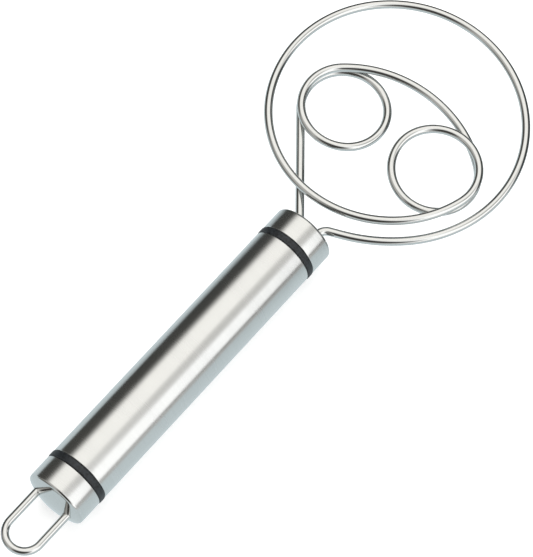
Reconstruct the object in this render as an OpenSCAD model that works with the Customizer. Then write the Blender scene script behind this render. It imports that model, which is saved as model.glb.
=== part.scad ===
// Danish dough whisk: one length of steel wire, bent into two eyes inside a large loop,
// with both ends anchored in a steel tube handle that has a hanging loop at its butt.
// +X runs along the handle towards the head, +Z is square to the flat head,
// and the origin is on the handle's axis, halfway along the grip tube.

/* [Handle] */
// Outside diameter of the grip tube and the end caps
handle_d = 24; // [20:0.5:30]
// Wall of the grip tube
tube_wall = 0.6; // [0.5:0.1:0.9]
// Wall of the drawn end caps
cap_wall = 0.6; // [0.5:0.1:0.9]
// Length of the grip tube between the two rings
grip_len = 110; // [80:1:150]
// Width of each plastic ring
ring_w = 2.9; // [2:0.1:5]
// Amount by which a ring stands proud of the tube, on the radius
ring_proud = 0.15; // [0.05:0.05:0.2]
// Length of the cap at the head end
front_cap_len = 9.9; // [8:0.1:16]
// Length of the cap at the butt end, to the crown of its dome
rear_cap_len = 12.3; // [10:0.1:18]
// Radius of the rear cap's dome
rear_dome_r = 28; // [24:1:60]
// Outside radius of the caps' drawn edges
cap_edge_r = 1.3; // [0.9:0.1:2]
// Length of a ring's spigot inside the grip tube
tube_spigot_len = 8; // [5:0.5:14]
// Length of a ring's spigot inside its cap
cap_spigot_len = 5; // [3:0.5:6]
// Wall of the spigots
spigot_wall = 1.8; // [1.2:0.1:2.2]

/* [Whisk wire] */
// Diameter of the whisk wire
wire_d = 3.2; // [2.4:0.1:4]
// Distance of each wire hole from the handle's axis
wire_hole_y = 4; // [2.8:0.1:5]
// Straight length between the cap's face and the first bend of the left leg
left_stub = 0.4; // [0.2:0.1:3]
// Centreline radius of the first bend of the left leg
left_bend_r = 4; // [3:0.5:8]
// Straight length between the cap's face and the last bend of the right leg
right_stub = 1.9; // [0.2:0.1:4]
// Centreline radius of the last bend of the right leg
right_bend_r = 4.5; // [3:0.5:8]
// Angle between the right leg and the handle's axis
right_leg_angle = 65; // [50:1:75]
// Straight length of the right leg
right_leg_len = 4.5; // [2:0.5:8]

/* [Eyes] */
// Centreline radius of the two eyes
eye_r = 16; // [12:0.5:19]
// Clear gap between the two eyes, side to side
eye_gap = 6; // [4:0.1:12]
// Distance of the left eye's centre from the face of the front cap
left_eye_reach = 47.3; // [40:0.1:58]
// Distance of the right eye's centre from the face of the front cap
right_eye_reach = 48.9; // [40:0.1:58]
// Centreline radius of the arc that bridges the two eyes
bridge_r = 47.7; // [46:0.1:70]
// Clear gap between two passes of the wire where one lies over the other
pass_gap = 0.15; // [0.1:0.05:0.6]

/* [Outer loop] */
// Centreline radius of the outer loop
loop_r = 47.6; // [45:0.1:60]
// Distance of the outer loop's centre from the face of the front cap
loop_reach = 56.7; // [50:0.1:70]
// Distance of the outer loop's centre to the left of the handle's axis
loop_y = 3.1; // [0:0.1:5]

/* [Hanging loop] */
// Diameter of the hanging loop's wire
hang_wire_d = 3; // [2:0.1:3.6]
// Wall of the rear plug outside each of the hanging loop's two holes
hang_hole_wall = 1; // [0.8:0.1:2]
// Distance that the hanging loop stands out of the rear cap, to its outer edge
hang_reach = 21.4; // [16:0.1:40]

/* [Plugs] */
// Depth of the wires inside the handle, from the face of their cap
anchor_depth = 15; // [12:0.5:20]
// Length of the plugs past the ends of the wires
plug_floor = 2; // [1:0.5:5]
// Radial clearance of each wire in its holes
wire_fit = 0.1; // [0.05:0.05:0.3]
// Radial clearance between nested pieces of the handle
nest_fit = 0.1; // [0.05:0.05:0.2]

/* [Hidden] */
$fn = 96;

handle_r = handle_d / 2;
tube_bore_r = handle_r - tube_wall;
cap_bore_r = handle_r - cap_wall;
ring_bore_r = min(tube_bore_r, cap_bore_r) - nest_fit - spigot_wall;
plug_r = ring_bore_r - nest_fit;
wire_hole_r = wire_d / 2 + wire_fit;
hang_hole_r = hang_wire_d / 2 + wire_fit;
// Distance between the hanging loop's two legs, centre to centre
hang_pitch = 2 * (plug_r - hang_hole_r - hang_hole_wall);

// Planes along the handle's axis, measured from the origin
front_ring_x = grip_len / 2;
front_cap_x = front_ring_x + ring_w;
front_face_x = front_cap_x + front_cap_len;
rear_ring_x = -grip_len / 2;
rear_cap_x = rear_ring_x - ring_w;
rear_face_x = rear_cap_x - rear_cap_len;

// Distance of each eye's centre from the handle's axis
eye_y = eye_r + (wire_d + eye_gap) / 2;
left_eye = [front_face_x + left_eye_reach, eye_y];
right_eye = [front_face_x + right_eye_reach, -eye_y];
loop_centre = [front_face_x + loop_reach, loop_y];
// Height of one pass of the wire over another
lift = wire_d + pass_gap;

// Directions round the eyes and the outer loop, in degrees from +X towards +Y
left_climb = [-20, -220];
right_climb = [-110, -290];
right_eye_leave = -465;
loop_join = 118;
loop_leave = -106;
// Largest turn between two stations of the wire, and between two rings of its sweep
station_turn = 45;
ring_turn = 10;
wire_sides = 12;
straight_limit = 0.0001;

STEEL = "silver";
BLACK = "#2b2e31";
NATURAL = "ivory";

function unit(v) = v / norm(v);
function flat(v, z) = [v.x, v.y, z];
function bearing(v) = atan2(v.y, v.x);
function after_first(list) = [for (i = [1:len(list) - 1]) list[i]];

// A station of the wire is a point on its centreline and the direction of travel there.
// The wire travels clockwise round every circle. Its height eases from z0 to z1 along a run.
function run(c, r, a0, a1, z0, z1) =
    let (steps = ceil((a0 - a1) / station_turn), length = r * (a0 - a1) * PI / 180)
    [for (i = [0:steps])
        let (t = i / steps, a = a0 + (a1 - a0) * t,
             z = z0 + (z1 - z0) * t * t * (3 - 2 * t),
             slope = (z1 - z0) * 6 * t * (1 - t) / length)
        [[c.x + r * cos(a), c.y + r * sin(a), z], unit([sin(a), -cos(a), slope])]];

// Centre of the circle of radius r that touches circles of radius r0 round c0 and c1
// from outside them, on the side away from the head's tip
function bridge_centre(c0, c1, r0, r) =
    let (mid = (c0 + c1) / 2, half = norm(c1 - c0) / 2, along = unit(c1 - c0),
         back = sqrt(pow(r - r0, 2) - half * half))
    mid + back * [along.y, -along.x];

// Heading of the straight line that leaves a left-hand bend of radius r0 round c0
// and meets a right-hand circle of radius r1 round c1
function crossing_heading(c0, r0, c1, r1) =
    bearing(c1 - c0) + asin((r0 + r1) / norm(c1 - c0));

left_bend_centre = [front_face_x + left_stub, wire_hole_y + left_bend_r];
left_heading = crossing_heading(left_bend_centre, left_bend_r, left_eye, eye_r);
left_way = [cos(left_heading), sin(left_heading), 0];
left_bend_end = left_bend_centre + left_bend_r * [left_way.y, -left_way.x];

right_bend_start = [front_face_x + right_stub, -wire_hole_y];
right_way = [-cos(right_leg_angle), sin(right_leg_angle), 0];
right_bend_end = right_bend_start
    + right_bend_r * [sin(right_leg_angle), cos(right_leg_angle) - 1];
right_foot = right_bend_end - right_leg_len * [right_way.x, right_way.y];

bridge = bridge_centre(left_eye, right_eye, eye_r, bridge_r);
bridge_from = bearing(left_eye - bridge);
bridge_to = bearing(right_eye - bridge);

anchor_x = front_face_x - anchor_depth;
FORWARD = [1, 0, 0];
stations = concat(
    [[[anchor_x, wire_hole_y, 0], FORWARD],
     [[left_bend_centre.x, wire_hole_y, 0], FORWARD],
     [flat(left_bend_end, 0), left_way]],
    run(left_eye, eye_r, left_heading + 90, left_climb[0], 0, 0),
    after_first(run(left_eye, eye_r, left_climb[0], left_climb[1], 0, lift)),
    after_first(run(left_eye, eye_r, left_climb[1], bridge_from - 360, lift, lift)),
    after_first(run(bridge, bridge_r, bridge_from, bridge_to, lift, lift / 2)),
    after_first(run(right_eye, eye_r, bridge_to, right_climb[0], lift / 2, lift / 2)),
    after_first(run(right_eye, eye_r, right_climb[0], right_climb[1], lift / 2, lift * 1.5)),
    after_first(run(right_eye, eye_r, right_climb[1], right_eye_leave, lift * 1.5, lift * 1.5)),
    run(loop_centre, loop_r, loop_join, loop_leave, lift, 0),
    [[flat(right_foot, 0), right_way],
     [flat(right_bend_end, 0), right_way],
     [flat(right_bend_start, 0), -FORWARD],
     [[anchor_x, -wire_hole_y, 0], -FORWARD]]);

// Stations along the arc that leaves p along t and ends at q, without the first one
function arc_stations(p, t, q) =
    let (v = q - p, turn = 2 * atan2(norm(cross(t, v)), t * v))
    turn < straight_limit ? [[q, t]] :
    let (out = cross(t, unit(cross(t, v))), r = norm(v) / (2 * sin(turn / 2)),
         steps = ceil(turn / ring_turn))
    [for (i = [1:steps]) let (a = turn * i / steps)
        [p + r * ((cos(a) - 1) * out + sin(a) * t), cos(a) * t - sin(a) * out]];

// Stations along the two arcs that join two stations smoothly, without the first one
function join_stations(from, to) =
    let (v = to[0] - from[0], a = 2 * (1 - from[1] * to[1]),
         b = 2 * (v * (from[1] + to[1])),
         reach = a < straight_limit ? (v * v) / b
             : (sqrt(b * b + 4 * a * (v * v)) - b) / (2 * a),
         p0 = from[0] + reach * from[1], p1 = to[0] - reach * to[1])
    concat(arc_stations(from[0], from[1], (p0 + p1) / 2),
           arc_stations((p0 + p1) / 2, unit(p1 - p0), to[0]));

// Round bar swept along a list of stations, none of which points straight up
module swept_bar(line, d) {
    last = len(line) - 1;
    points = [for (s = line)
        let (side = unit(cross([0, 0, 1], s[1])), up = cross(s[1], side))
        for (k = [0:wire_sides - 1]) let (a = 360 * k / wire_sides)
            s[0] + d / 2 * (cos(a) * side + sin(a) * up)];
    walls = [for (i = [0:last - 1], k = [0:wire_sides - 1])
        let (next = (k + 1) % wire_sides, a = i * wire_sides, b = a + wire_sides)
        each [[a + k, b + k, b + next], [a + k, b + next, a + next]]];
    start = [for (k = [0:wire_sides - 1]) k];
    end = [for (k = [wire_sides - 1:-1:0]) last * wire_sides + k];
    polyhedron(points, concat([start], walls, [end]));
}

// Solid of revolution about the handle's axis: a square-cornered sleeve
module sleeve(x0, x1, r_out, r_in = 0) {
    translate([x0, 0, 0]) rotate([0, 90, 0]) difference() {
        cylinder(h = x1 - x0, r = r_out);
        if (r_in > 0) translate([0, 0, -1]) cylinder(h = x1 - x0 + 2, r = r_in);
    }
}

// Filled outline, from the axis out, of a cup whose flat closed end has a rounded edge
module flat_outline(length, r, edge_r) {
    square([r - edge_r, length]);
    square([r, length - edge_r]);
    translate([r - edge_r, length - edge_r]) circle(r = edge_r);
}

// The same, with a closed end that is a dome and runs smoothly into its rounded edge
module domed_outline(length, r, edge_r, dome_r) {
    lean = asin((r - edge_r) / (dome_r - edge_r));
    edge_y = length - dome_r + (dome_r - edge_r) * cos(lean);
    square([r, edge_y]);
    translate([r - edge_r, edge_y]) circle(r = edge_r);
    intersection() {
        translate([0, length - dome_r]) circle(r = dome_r);
        polygon([[0, 0], [r - edge_r, 0], [r - edge_r, edge_y],
                 [r - edge_r, edge_y] + 2 * edge_r * [sin(lean), cos(lean)],
                 [r - edge_r, length + edge_r], [0, length + edge_r]]);
    }
}

// Drawn cup with its open end at z = 0 and its closed end up, domed where dome_r is given
module cup(length, wall, dome_r = 0) {
    rotate_extrude() difference() {
        if (dome_r > 0) domed_outline(length, handle_r, cap_edge_r, dome_r);
        else flat_outline(length, handle_r, cap_edge_r);
        translate([0, -1])
            if (dome_r > 0)
                domed_outline(length + 1 - wall, handle_r - wall, cap_edge_r - wall, dome_r - wall);
            else flat_outline(length + 1 - wall, handle_r - wall, cap_edge_r - wall);
        translate([-2 * handle_r, -1]) square([2 * handle_r, length + 2]);
    }
}

// A pair of round holes along the handle's axis, each at +y and -y
module hole_pair(x0, x1, y, r) {
    for (side = [-1, 1]) translate([x0, side * y, 0]) rotate([0, 90, 0])
        cylinder(h = x1 - x0, r = r);
}

// Black collar with a spigot at each end: tube_x is where it meets the grip tube,
// and facing is 1 at the head end and -1 at the butt
module ring(tube_x, facing) {
    color(BLACK) translate([tube_x, 0, 0]) mirror([facing < 0 ? 1 : 0, 0, 0]) difference() {
        union() {
            sleeve(0, ring_w, handle_r + ring_proud);
            sleeve(-tube_spigot_len, 0, tube_bore_r - nest_fit);
            sleeve(ring_w, ring_w + cap_spigot_len, cap_bore_r - nest_fit);
        }
        translate([-tube_spigot_len - 1, 0, 0]) rotate([0, 90, 0])
            cylinder(h = tube_spigot_len + ring_w + cap_spigot_len + 2, r = ring_bore_r);
    }
}

module whisk_wire() {
    line = concat([stations[0]], [for (i = [0:len(stations) - 2])
        each join_stations(stations[i], stations[i + 1])]);
    color(STEEL) swept_bar(line, wire_d);
}

module front_cap() {
    color(STEEL) difference() {
        translate([front_cap_x, 0, 0]) rotate([0, 90, 0]) cup(front_cap_len, cap_wall);
        hole_pair(front_cap_x, front_face_x + 1, wire_hole_y, wire_hole_r);
    }
}

module front_ring() ring(front_ring_x, 1);

module front_plug() {
    back_x = anchor_x - plug_floor;
    color(NATURAL) difference() {
        sleeve(back_x, front_face_x - cap_wall, plug_r);
        hole_pair(anchor_x, front_face_x, wire_hole_y, wire_hole_r);
    }
}

module grip_tube() {
    color(STEEL) sleeve(rear_ring_x, front_ring_x, handle_r, tube_bore_r);
}

module rear_ring() ring(rear_ring_x, -1);

module rear_plug() {
    dome_bore_r = rear_dome_r - cap_wall;
    seat_x = rear_face_x + cap_wall + dome_bore_r - sqrt(pow(dome_bore_r, 2) - pow(plug_r, 2));
    front_x = rear_face_x + anchor_depth;
    color(NATURAL) difference() {
        sleeve(seat_x + nest_fit, front_x + plug_floor, plug_r);
        hole_pair(rear_face_x, front_x, hang_pitch / 2, hang_hole_r);
    }
}

module rear_cap() {
    color(STEEL) difference() {
        translate([rear_cap_x, 0, 0]) rotate([0, -90, 0])
            cup(rear_cap_len, cap_wall, rear_dome_r);
        hole_pair(rear_face_x - 1, rear_cap_x, hang_pitch / 2, hang_hole_r);
    }
}

module hanging_loop() {
    end_x = rear_face_x + anchor_depth;
    bow_x = rear_face_x - hang_reach + (hang_pitch + hang_wire_d) / 2;
    color(STEEL) {
        for (side = [-1, 1]) translate([bow_x, side * hang_pitch / 2, 0]) rotate([0, 90, 0])
            cylinder(h = end_x - bow_x, d = hang_wire_d);
        translate([bow_x, 0, 0]) rotate([0, 0, 90]) rotate_extrude(angle = 180)
            translate([hang_pitch / 2, 0]) circle(d = hang_wire_d);
    }
}

whisk_wire();
front_cap();
front_ring();
front_plug();
grip_tube();
rear_ring();
rear_plug();
rear_cap();
hanging_loop();
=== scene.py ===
"""A Danish dough whisk: polished wire head, brushed steel handle, two black rings and a hanging loop."""

import math

import bmesh
import bpy
from mathutils import Matrix, Vector


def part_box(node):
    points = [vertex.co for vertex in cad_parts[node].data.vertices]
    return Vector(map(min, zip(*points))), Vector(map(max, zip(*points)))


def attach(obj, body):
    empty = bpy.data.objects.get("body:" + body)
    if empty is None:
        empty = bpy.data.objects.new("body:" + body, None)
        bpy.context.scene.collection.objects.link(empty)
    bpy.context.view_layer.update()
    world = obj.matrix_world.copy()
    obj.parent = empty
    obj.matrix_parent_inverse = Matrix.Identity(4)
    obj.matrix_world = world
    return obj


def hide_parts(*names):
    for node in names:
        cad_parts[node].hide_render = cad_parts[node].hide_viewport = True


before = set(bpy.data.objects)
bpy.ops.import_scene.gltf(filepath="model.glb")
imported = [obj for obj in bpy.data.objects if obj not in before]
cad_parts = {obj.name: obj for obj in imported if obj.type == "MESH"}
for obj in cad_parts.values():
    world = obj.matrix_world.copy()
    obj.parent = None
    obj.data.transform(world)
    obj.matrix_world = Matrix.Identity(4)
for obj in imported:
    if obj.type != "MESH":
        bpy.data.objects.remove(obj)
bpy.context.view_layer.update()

MM = 0.001

# ---------------------------------------------------------------- sizes

# What the frame gives
tube_low, tube_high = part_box("grip_tube")
front_cap_low, front_cap_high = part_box("front_cap")
rear_cap_low, rear_cap_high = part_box("rear_cap")
front_ring_low, front_ring_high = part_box("front_ring")
rear_ring_low, rear_ring_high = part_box("rear_ring")
loop_low, loop_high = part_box("hanging_loop")
wire_low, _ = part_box("whisk_wire")

handle_r = tube_high.z
ring_r = front_ring_high.z
loop_wire_r = loop_high.z
loop_leg_y = loop_high.y - loop_wire_r
whisk_wire_r = -wire_low.z

# Details finer than the frame holds
TUBE_WALL = 0.6 * MM
NEST_FIT = 0.1 * MM
SPIGOT_WALL = 1.8 * MM
CAP_EDGE_R = 1.3 * MM
REAR_DOME_R = 28 * MM
TUBE_LIP_R = 0.35 * MM
RING_EDGE_R = 0.6 * MM
HOLE_FIT = 0.1 * MM
WHISK_HOLE_Y = 4 * MM

# How finely the round shapes are cut
TURNED_STEPS = 128      # round the handle
DOME_STEPS = 24         # from the crown of the dome to its rounded edge
EDGE_STEPS = 8          # over a rounded edge
HOLE_STEPS = 32         # round a wire hole
BOW_STEPS = 12          # round the bow of the hanging loop

# Limits for telling and joining places
MERGE = 0.001 * MM      # vertices this close are one
SLIVER = 0.005 * MM     # edges shorter than this are merged away after a cut
NEAR = 0.01 * MM        # a vertex this close to a place is on it
SHARP_ANGLE = 35        # degrees between two faces, past which their edge is drawn sharp
END_TILT = 0.3          # cap faces whose normals have more than this along the axis are polished


# ---------------------------------------------------------------- shader helpers

def srgb(code):
    """Linear RGBA of an sRGB hex colour."""
    def linear(channel):
        value = int(channel, 16) / 255
        return value / 12.92 if value <= 0.04045 else ((value + 0.055) / 1.055) ** 2.4
    return tuple(linear(code[i:i + 2]) for i in (1, 3, 5)) + (1.0,)


def live(sockets, name=None):
    """The socket of that name that its node now uses, or the first one."""
    return next(socket for socket in sockets if socket.enabled and name in (None, socket.name))


def add(tree, kind, inputs=None, out=None, **settings):
    """Adds a node, and returns its output.

    A socket given as an input is linked, and any other value is set.
    """
    node = tree.nodes.new(kind)
    for name, value in settings.items():
        setattr(node, name, value)
    for key, value in (inputs or {}).items():
        target = node.inputs[key] if isinstance(key, int) else live(node.inputs, key)
        if isinstance(value, bpy.types.NodeSocket):
            tree.links.new(value, target)
        else:
            target.default_value = value
    return live(node.outputs, out) if node.outputs else None


def material_from(name, surface):
    """A material whose Principled shader has the inputs that surface(tree) returns."""
    material = bpy.data.materials.new(name)
    material.use_nodes = True
    tree = material.node_tree
    tree.nodes.clear()
    shader = add(tree, "ShaderNodeBsdfPrincipled", surface(tree))
    add(tree, "ShaderNodeOutputMaterial", {"Surface": shader})
    return material


# ---------------------------------------------------------------- materials

def brushed_stainless(tree):
    """Stainless tube, satin brushed round its girth on a lathe.

    The brushing keeps reflections crisp round the handle and draws them out along it,
    so the handle shows long straight bands.
    """
    place = add(tree, "ShaderNodeTexCoord", out="Object")
    axes = add(tree, "ShaderNodeSeparateXYZ", {0: place}).node.outputs
    across = add(tree, "ShaderNodeCombineXYZ", {"Y": axes["Y"], "Z": axes["Z"]})
    radius = add(tree, "ShaderNodeVectorMath", {0: across}, operation="LENGTH")
    # Distance along the turned profile: along the tube, then inwards over an end face
    along = add(tree, "ShaderNodeMath", {0: axes["X"], 1: radius}, operation="ADD")
    lathe = add(tree, "ShaderNodeCombineXYZ", {"X": along, "Y": axes["Y"], "Z": axes["Z"]})

    # Scratches, wider than real ones so that they show
    scratch_width, scratch_length = 0.35 * MM, 12 * MM
    scratch_scale = (1 / scratch_width, 1 / scratch_length, 1 / scratch_length)
    scratch_place = add(tree, "ShaderNodeMapping", {"Vector": lathe, "Scale": scratch_scale})
    scratches = add(tree, "ShaderNodeTexNoise", {
        "Vector": scratch_place, "Scale": 1.0, "Detail": 2.0, "Roughness": 0.6})
    # Haze left by handling
    haze_width, haze_length = 5 * MM, 20 * MM
    haze_scale = (1 / haze_width, 1 / haze_length, 1 / haze_length)
    haze_place = add(tree, "ShaderNodeMapping", {"Vector": lathe, "Scale": haze_scale})
    haze = add(tree, "ShaderNodeTexNoise", {"Vector": haze_place, "Scale": 1.0, "Detail": 1.0})

    # Highlights run along the profile, square to the brushing
    girth = add(tree, "ShaderNodeVectorMath", {0: (1, 0, 0), 1: place}, operation="CROSS_PRODUCT")
    normal = add(tree, "ShaderNodeNewGeometry", out="Normal")
    profile = add(tree, "ShaderNodeVectorMath", {0: girth, 1: normal}, operation="CROSS_PRODUCT")
    return {
        "Metallic": 1.0,
        "Anisotropic": 0.75,
        "Tangent": profile,
        "Base Color": add(tree, "ShaderNodeMix", {
            "Factor": scratches, "A": srgb("#d6d6d3"), "B": srgb("#dfdfdd")}, data_type="RGBA"),
        "Roughness": add(tree, "ShaderNodeMapRange", {
            "Value": haze, "From Min": 0.3, "From Max": 0.7, "To Min": 0.25, "To Max": 0.28}),
        "Normal": add(tree, "ShaderNodeBump", {
            "Height": scratches, "Strength": 0.05, "Distance": 0.01 * MM}),
    }


def polished_stainless(tree):
    """Stainless steel, tumble polished: near mirror, with faint marks left by the drum."""
    place = add(tree, "ShaderNodeTexCoord", out="Object")
    mark_width = 0.6 * MM
    marks = add(tree, "ShaderNodeTexNoise", {
        "Vector": place, "Scale": 1 / mark_width, "Detail": 2.0})
    return {
        "Metallic": 1.0,
        "Base Color": add(tree, "ShaderNodeMix", {
            "Factor": marks, "A": srgb("#cfcfcc"), "B": srgb("#dadad8")}, data_type="RGBA"),
        "Roughness": add(tree, "ShaderNodeMapRange", {
            "Value": marks, "From Min": 0.3, "From Max": 0.7, "To Min": 0.05, "To Max": 0.10}),
        "Normal": add(tree, "ShaderNodeBump", {
            "Height": marks, "Strength": 0.05, "Distance": 0.01 * MM}),
    }


def moulded(dark, light, roughness, grain):
    """Moulded plastic with a fine spark-eroded grain, which breaks up its highlight."""
    spread = 0.08           # how far the grain takes the roughness up and down
    def surface(tree):
        place = add(tree, "ShaderNodeTexCoord", out="Object")
        speckle = add(tree, "ShaderNodeTexNoise", {
            "Vector": place, "Scale": 1 / grain, "Detail": 3.0, "Roughness": 0.6})
        # The noise keeps near its middle, so it is stretched to reach both colours
        contrast = add(tree, "ShaderNodeMapRange", {
            "Value": speckle, "From Min": 0.35, "From Max": 0.65})
        return {
            "Base Color": add(tree, "ShaderNodeMix", {
                "Factor": contrast, "A": srgb(dark), "B": srgb(light)}, data_type="RGBA"),
            "Roughness": add(tree, "ShaderNodeMapRange", {
                "Value": speckle, "To Min": roughness - spread, "To Max": roughness + spread}),
            "Normal": add(tree, "ShaderNodeBump", {
                "Height": speckle, "Strength": 0.4, "Distance": 0.05 * MM}),
        }
    return surface


STAINLESS = material_from("satin_brushed_stainless", brushed_stainless)
POLISHED = material_from("polished_stainless", polished_stainless)
# Charcoal nylon rings, with a grain drawn 0.9 mm across, coarser than a real one, so that it shows
NYLON = material_from("black_moulded_nylon", moulded("#08090b", "#292e32", 0.5, 0.9 * MM))
# Polypropylene plugs in their natural milky colour, with a grain drawn as coarse
NATURAL = material_from("natural_moulded_polypropylene", moulded("#e6e0cf", "#f0ebdd", 0.45, 0.8 * MM))


# ---------------------------------------------------------------- mesh helpers

def finish_piece(bm, name, materials, replaced):
    """Turns a bmesh into a smooth piece that rides on the frame and stands for a CAD node."""
    mesh = bpy.data.meshes.new(name)
    bmesh.ops.recalc_face_normals(bm, faces=bm.faces)
    for face in bm.faces:
        face.smooth = True
    bm.to_mesh(mesh)
    bm.free()
    mesh.set_sharp_from_angle(angle=math.radians(SHARP_ANGLE))
    for material in materials:
        mesh.materials.append(material)
    piece = bpy.data.objects.new(name, mesh)
    bpy.context.scene.collection.objects.link(piece)
    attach(piece, "root")
    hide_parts(replaced)


def circle_edges(bm, x, r):
    """The edges of the circle of radius r round the X axis at x."""
    def on_circle(vert):
        return abs(vert.co.x - x) < NEAR and abs(math.hypot(vert.co.y, vert.co.z) - r) < NEAR
    return [edge for edge in bm.edges if all(on_circle(vert) for vert in edge.verts)]


def turned(corners, closed):
    """A profile of (x, radius, edge radius) corners turned about the X axis, its corners rounded."""
    bm = bmesh.new()
    verts = [bm.verts.new((x, 0, r)) for x, r, _ in corners]
    pairs = list(zip(verts, verts[1:]))
    if closed:
        pairs.append((verts[-1], verts[0]))
    edges = [bm.edges.new(pair) for pair in pairs]
    bmesh.ops.spin(bm, geom=verts + edges, cent=(0, 0, 0), axis=(1, 0, 0),
                   angle=2 * math.pi, steps=TURNED_STEPS, use_merge=True)
    bmesh.ops.remove_doubles(bm, verts=bm.verts, dist=MERGE)
    for x, r, edge_r in corners:
        if edge_r:
            bmesh.ops.bevel(bm, geom=circle_edges(bm, x, r), offset=edge_r, segments=EDGE_STEPS,
                            profile=0.5, affect="EDGES", material=-1)
    return bm


# ---------------------------------------------------------------- handle

def grip_tube():
    """The tube between the rings, with its cut ends rolled over."""
    bore = handle_r - TUBE_WALL
    bm = turned([(tube_low.x, handle_r, TUBE_LIP_R), (tube_high.x, handle_r, TUBE_LIP_R),
                 (tube_high.x, bore, 0), (tube_low.x, bore, 0)], closed=True)
    finish_piece(bm, "grip_tube_brushed", [STAINLESS], "grip_tube")


def ring(name, tube_x, cap_x, spigot_low, spigot_high, replaced):
    """A collar that stands proud between tube and cap, with a spigot inside each of them."""
    spigot_r = handle_r - TUBE_WALL - NEST_FIT
    bore = spigot_r - SPIGOT_WALL
    low_x, high_x = sorted((tube_x, cap_x))
    bm = turned([(low_x, ring_r, RING_EDGE_R), (high_x, ring_r, RING_EDGE_R), (high_x, spigot_r, 0),
                 (spigot_high, spigot_r, 0), (spigot_high, bore, 0), (spigot_low, bore, 0),
                 (spigot_low, spigot_r, 0), (low_x, spigot_r, 0)], closed=True)
    finish_piece(bm, name, [NYLON], replaced)


def end_profile(crown_x, inwards, r, edge_r, dome_r):
    """(x, radius, 0) points of a closed end, from the axis out over its rounded edge.

    The end is flat, or a dome where dome_r is given.
    """
    if dome_r:
        lean = math.asin((r - edge_r) / (dome_r - edge_r))
        turns = [lean * i / DOME_STEPS for i in range(DOME_STEPS)]
        points = [(crown_x + inwards * dome_r * (1 - math.cos(turn)), dome_r * math.sin(turn), 0)
                  for turn in turns]
        edge_x = crown_x + inwards * (dome_r - (dome_r - edge_r) * math.cos(lean))
    else:
        lean = 0
        points = [(crown_x, 0, 0)]
        edge_x = crown_x + inwards * edge_r
    turns = [lean + (math.pi / 2 - lean) * i / EDGE_STEPS for i in range(EDGE_STEPS + 1)]
    return points + [(edge_x - inwards * edge_r * math.cos(turn), r - edge_r + edge_r * math.sin(turn), 0)
                     for turn in turns]


def drilled(bm, hole_y, hole_r, low_x, high_x):
    """The bmesh with a pair of round holes through it along X, at +hole_y and -hole_y."""
    drills = bmesh.new()
    for side in (-1, 1):
        place = Matrix.Translation(((low_x + high_x) / 2, side * hole_y, 0))
        bmesh.ops.create_cone(drills, cap_ends=True, segments=HOLE_STEPS, radius1=hole_r, radius2=hole_r,
                              depth=high_x - low_x, matrix=place @ Matrix.Rotation(math.pi / 2, 4, "Y"))
    blanks = []
    for name, shape in (("cap_blank", bm), ("drills", drills)):
        mesh = bpy.data.meshes.new(name)
        bmesh.ops.recalc_face_normals(shape, faces=shape.faces)
        shape.to_mesh(mesh)
        shape.free()
        blanks.append(bpy.data.objects.new(name, mesh))
        bpy.context.scene.collection.objects.link(blanks[-1])
    blank, cutter = blanks
    drill = blank.modifiers.new("drill", "BOOLEAN")
    drill.operation = "DIFFERENCE"
    drill.solver = "EXACT"
    drill.object = cutter
    drilled_blank = blank.evaluated_get(bpy.context.evaluated_depsgraph_get())
    result = bmesh.new()
    result.from_mesh(bpy.data.meshes.new_from_object(drilled_blank))
    bmesh.ops.remove_doubles(result, verts=result.verts, dist=SLIVER)
    bmesh.ops.dissolve_degenerate(result, edges=result.edges, dist=SLIVER)
    for each in blanks:
        bpy.data.objects.remove(each)
    return result


def cap(name, open_x, crown_x, dome_r, hole_y, hole_r, replaced):
    """A drawn cup with a polished end, two wire holes and a rolled open edge."""
    inwards = math.copysign(1, open_x - crown_x)
    outside = end_profile(crown_x, inwards, handle_r, CAP_EDGE_R, dome_r)
    inside = end_profile(crown_x + inwards * TUBE_WALL, inwards, handle_r - TUBE_WALL,
                         CAP_EDGE_R - TUBE_WALL, dome_r and dome_r - TUBE_WALL)
    rim = [(open_x, handle_r, TUBE_LIP_R), (open_x, handle_r - TUBE_WALL, 0)]
    bm = turned(outside + rim + inside[::-1], closed=False)
    past_crown = crown_x - inwards * MM
    bm = drilled(bm, hole_y, hole_r, *sorted((past_crown, open_x)))
    bm.normal_update()
    for face in bm.faces:
        face.material_index = int(abs(face.normal.x) > END_TILT)
    finish_piece(bm, name, [STAINLESS, POLISHED], replaced)


# ---------------------------------------------------------------- wires

def swept_wire(name, points, radius, replaced):
    """A round wire along (place, direction) points, which lie on arcs and straights.

    Handles a third of the way to the next point keep the curve close to the arcs.
    """
    curve = bpy.data.curves.new(name, "CURVE")
    curve.dimensions = "3D"
    curve.resolution_u = 5
    curve.bevel_depth = radius
    curve.bevel_resolution = 6
    curve.use_fill_caps = True
    spline = curve.splines.new("BEZIER")
    spline.bezier_points.add(len(points) - 1)
    for i, (place, way) in enumerate(points):
        before = (place - points[i - 1][0]).length if i else 0
        after = (points[i + 1][0] - place).length if i + 1 < len(points) else 0
        point = spline.bezier_points[i]
        point.co = place
        point.handle_left = place - way * before / 3
        point.handle_right = place + way * after / 3
    drawn = bpy.data.objects.new(name + "_line", curve)
    bm = bmesh.new()
    bm.from_mesh(bpy.data.meshes.new_from_object(drawn))
    bpy.data.objects.remove(drawn)
    bmesh.ops.remove_doubles(bm, verts=bm.verts, dist=MERGE)
    finish_piece(bm, name, [POLISHED], replaced)


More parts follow.
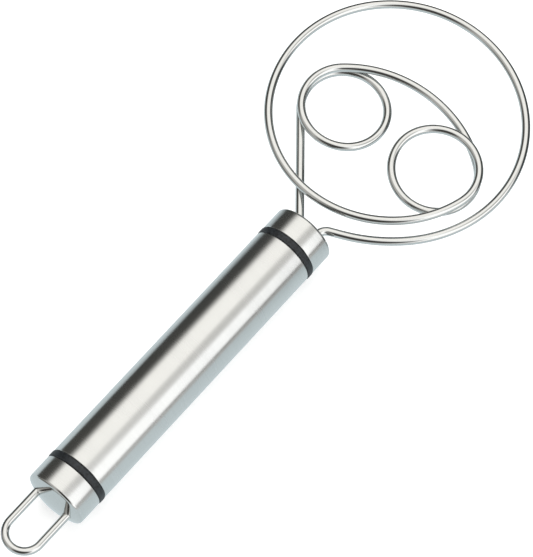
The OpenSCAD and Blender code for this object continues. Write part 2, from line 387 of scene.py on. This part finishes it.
def centreline(node):
    """(place, direction) at each ring of a swept CAD node, from the end with the larger y."""
    bm = bmesh.new()
    bm.from_mesh(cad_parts[node].data)
    bmesh.ops.remove_doubles(bm, verts=bm.verts, dist=MERGE)
    bm.verts.index_update()
    end_x = min(vert.co.x for vert in bm.verts)
    layer = [vert for vert in bm.verts if vert.co.x - end_x < NEAR and vert.co.y > 0]
    seen, points = set(layer), []
    while layer:
        place = sum((vert.co for vert in layer), Vector()) / len(layer)
        spokes = [vert.co - place for vert in layer]
        square = max((spoke.cross(spokes[0]) for spoke in spokes), key=lambda cross: cross.length)
        points.append((place, square.normalized()))
        ahead = {edge.other_vert(vert) for vert in layer for edge in vert.link_edges} - seen
        # A set's order changes from run to run, so it is sorted to give the same wire each time
        layer = sorted(ahead, key=lambda vert: vert.index)
        seen.update(layer)
    bm.free()
    steps = [b[0] - a[0] for a, b in zip(points, points[1:])]
    steps.append(steps[-1])
    return [(place, way if way.dot(step) > 0 else -way) for (place, way), step in zip(points, steps)]


def hanging_loop():
    """Two straight legs and a half-round bow."""
    bow_x = loop_low.x + loop_leg_y + loop_wire_r
    backward = Vector((-1, 0, 0))
    points = [(Vector((loop_high.x, loop_leg_y, 0)), backward)]
    for i in range(BOW_STEPS + 1):
        turn = Matrix.Rotation(math.pi * i / BOW_STEPS, 3, "Z")
        place = Vector((bow_x, 0, 0)) + turn @ Vector((0, loop_leg_y, 0))
        points.append((place, turn @ backward))
    points.append((Vector((loop_high.x, -loop_leg_y, 0)), -backward))
    swept_wire("hanging_loop_wire", points, loop_wire_r, "hanging_loop")


# ---------------------------------------------------------------- the object

grip_tube()
ring("front_ring_collar", tube_high.x, front_cap_low.x, front_ring_low.x, front_ring_high.x, "front_ring")
ring("rear_ring_collar", tube_low.x, rear_cap_high.x, rear_ring_low.x, rear_ring_high.x, "rear_ring")
cap("front_cap_drawn", front_cap_low.x, front_cap_high.x, None,
    WHISK_HOLE_Y, whisk_wire_r + HOLE_FIT, "front_cap")
cap("rear_cap_drawn", rear_cap_high.x, rear_cap_low.x, REAR_DOME_R,
    loop_leg_y, loop_wire_r + HOLE_FIT, "rear_cap")
swept_wire("whisk_wire_drawn", centreline("whisk_wire"), whisk_wire_r, "whisk_wire")
hanging_loop()

for plug in ("front_plug", "rear_plug"):
    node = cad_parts[plug]
    node.data.materials.clear()
    node.data.materials.append(NATURAL)


# ---------------------------------------------------------------- studio

def direction(azimuth, elevation):
    """Unit vector at an azimuth and elevation in degrees."""
    level = math.cos(math.radians(elevation))
    turn = math.radians(azimuth)
    return Vector((level * math.cos(turn), level * math.sin(turn), math.sin(math.radians(elevation))))


TABLE_REACH = 3.0       # metres from the middle to each side
TABLE_GAP = 0.2 * MM    # under the rings


def floor():
    """A pale table just under the handle, lit from below so that shadows stay faint."""
    bm = bmesh.new()
    bmesh.ops.create_grid(bm, x_segments=1, y_segments=1, size=TABLE_REACH,
                          matrix=Matrix.Translation((0, 0, -ring_r - TABLE_GAP)))
    mesh = bpy.data.meshes.new("table")
    bm.to_mesh(mesh)
    bm.free()
    mesh.materials.append(material_from("pale_light_table", lambda tree: {
        "Base Color": srgb("#d8d8d8"), "Roughness": 0.9,
        "Emission Color": srgb("#ffffff"), "Emission Strength": 0.6}))
    table = bpy.data.objects.new("table", mesh)
    bpy.context.scene.collection.objects.link(table)
    # The steel mirrors the light tent's own glow from below instead
    table.visible_glossy = False


# What the steel mirrors. Angles are in degrees.
ZENITH = 90             # a panel that reaches this elevation isn't cut off above
PANEL_EDGE = 2          # half the width of the soft edge where a panel or the table is cut off
TABLE_EDGE = -4         # elevation where the mirrored table gives way to the wall
TABLE_GLOW = ("#e2eff4", 0.9)
WALL_GLOW = ("#f4f3f0", 0.62)
# Azimuth, elevation, full and faded half-angle, the elevations that cut it off below and above,
# colour, brightness
LAMPS_AND_SCREENS = [
    ("overhead softbox", 28, 64, 24, 58, 0, ZENITH, "#fffefb", 1.3),
    ("right softbox", -95, 25, 30, 58, 4, ZENITH, "#fdfeff", 1.55),
    ("ceiling gap", -52, 58, 4, 20, 0, ZENITH, "#f4f3f0", 0.7),
    ("right seam", -66, 7, 8, 26, 3, 10, "#e8e8e6", 0.15),
    ("left screen", 85, 8, 18, 48, -12, ZENITH, "#d8d8d0", 0.10),
    ("far left screen", 140, -4, 10, 28, -30, ZENITH, "#d8d8d0", 0.3),
    ("far screen", 34, -4, 27, 45, -65, ZENITH, "#d4d8d8", 0.09),
    ("front screen", -20, -2, 29, 47, -65, ZENITH, "#cfd6d8", 0.11),
    ("camera-side screen", -152, 34, 17, 38, -5, ZENITH, "#dcdad4", 0.09),
]


def studio():
    """A light tent: softboxes to light the steel and dark screens to draw its edges."""
    world = bpy.data.worlds.new("light_tent")
    bpy.context.scene.world = world
    world.use_nodes = True
    tree = world.node_tree
    tree.nodes.clear()
    way = add(tree, "ShaderNodeTexCoord", out="Object")

    def glow(code, brightness):
        """Linear RGBA of a colour, brightened."""
        return tuple(channel * brightness for channel in srgb(code)[:3]) + (1.0,)

    height = add(tree, "ShaderNodeSeparateXYZ", {0: way}, out="Z")

    def above(elevation):
        """A value that is 1 above the elevation and 0 below it, with a soft edge."""
        return add(tree, "ShaderNodeMapRange", {
            "Value": height, "From Min": math.sin(math.radians(elevation - PANEL_EDGE)),
            "From Max": math.sin(math.radians(elevation + PANEL_EDGE))})

    light = add(tree, "ShaderNodeMix", {
        "Factor": above(TABLE_EDGE), "A": glow(*TABLE_GLOW), "B": glow(*WALL_GLOW)}, data_type="RGBA")
    for name, azimuth, elevation, full, faded, low, high, code, brightness in LAMPS_AND_SCREENS:
        near = add(tree, "ShaderNodeVectorMath", {0: way, 1: direction(azimuth, elevation)},
                   operation="DOT_PRODUCT")
        share = add(tree, "ShaderNodeMapRange", {
            "Value": near, "From Min": math.cos(math.radians(faded)),
            "From Max": math.cos(math.radians(full))}, interpolation_type="SMOOTHSTEP")
        share = add(tree, "ShaderNodeMath", {0: share, 1: above(low)}, operation="MULTIPLY")
        if high < ZENITH:
            over = add(tree, "ShaderNodeMath", {0: 1.0, 1: above(high)}, operation="SUBTRACT")
            share = add(tree, "ShaderNodeMath", {0: share, 1: over}, operation="MULTIPLY")
        light = add(tree, "ShaderNodeMix", {
            "Factor": share, "A": light, "B": glow(code, brightness)}, data_type="RGBA", label=name)
    # Past the table there is a plain white backdrop
    seen = add(tree, "ShaderNodeLightPath", out="Is Camera Ray")
    light = add(tree, "ShaderNodeMix", {
        "Factor": seen, "A": light, "B": glow("#ffffff", 1.0)}, data_type="RGBA")
    background = add(tree, "ShaderNodeBackground", {"Color": light})
    add(tree, "ShaderNodeOutputWorld", {"Surface": background})


def softbox(name, place, size, power):
    """A square soft light aimed at the whisk, which isn't mirrored in the steel."""
    lamp = bpy.data.lights.new(name, "AREA")
    lamp.shape = "SQUARE"
    lamp.size = size
    lamp.energy = power
    box = bpy.data.objects.new(name, lamp)
    box.location = place
    box.rotation_euler = (-Vector(place)).to_track_quat("-Z", "Y").to_euler()
    box.visible_glossy = False
    bpy.context.scene.collection.objects.link(box)


def camera():
    """A long lens looking down on the whisk from behind its butt, a little rolled."""
    target = Vector((44.6, -1.3, 0)) * MM
    azimuth, elevation, roll, distance = -146.67, 66.16, 7.27, 1063.5 * MM
    lens = bpy.data.cameras.new("camera")
    lens.lens = 192
    lens.sensor_width = 36
    lens.clip_start = 0.05
    lens.clip_end = 50
    eye = bpy.data.objects.new("camera", lens)
    back = direction(azimuth, elevation)
    right = Vector((0, 0, 1)).cross(back).normalized()
    up = back.cross(right)
    turn = Matrix((right, up, back)).transposed() @ Matrix.Rotation(math.radians(roll), 3, "Z")
    eye.matrix_world = Matrix.Translation(target + back * distance) @ turn.to_4x4()
    bpy.context.scene.collection.objects.link(eye)
    bpy.context.scene.camera = eye


floor()
studio()
softbox("key", place=(0.4, 0.5, 1.4), size=1.2, power=9)
camera()
bpy.context.scene.view_settings.view_transform = "Standard"
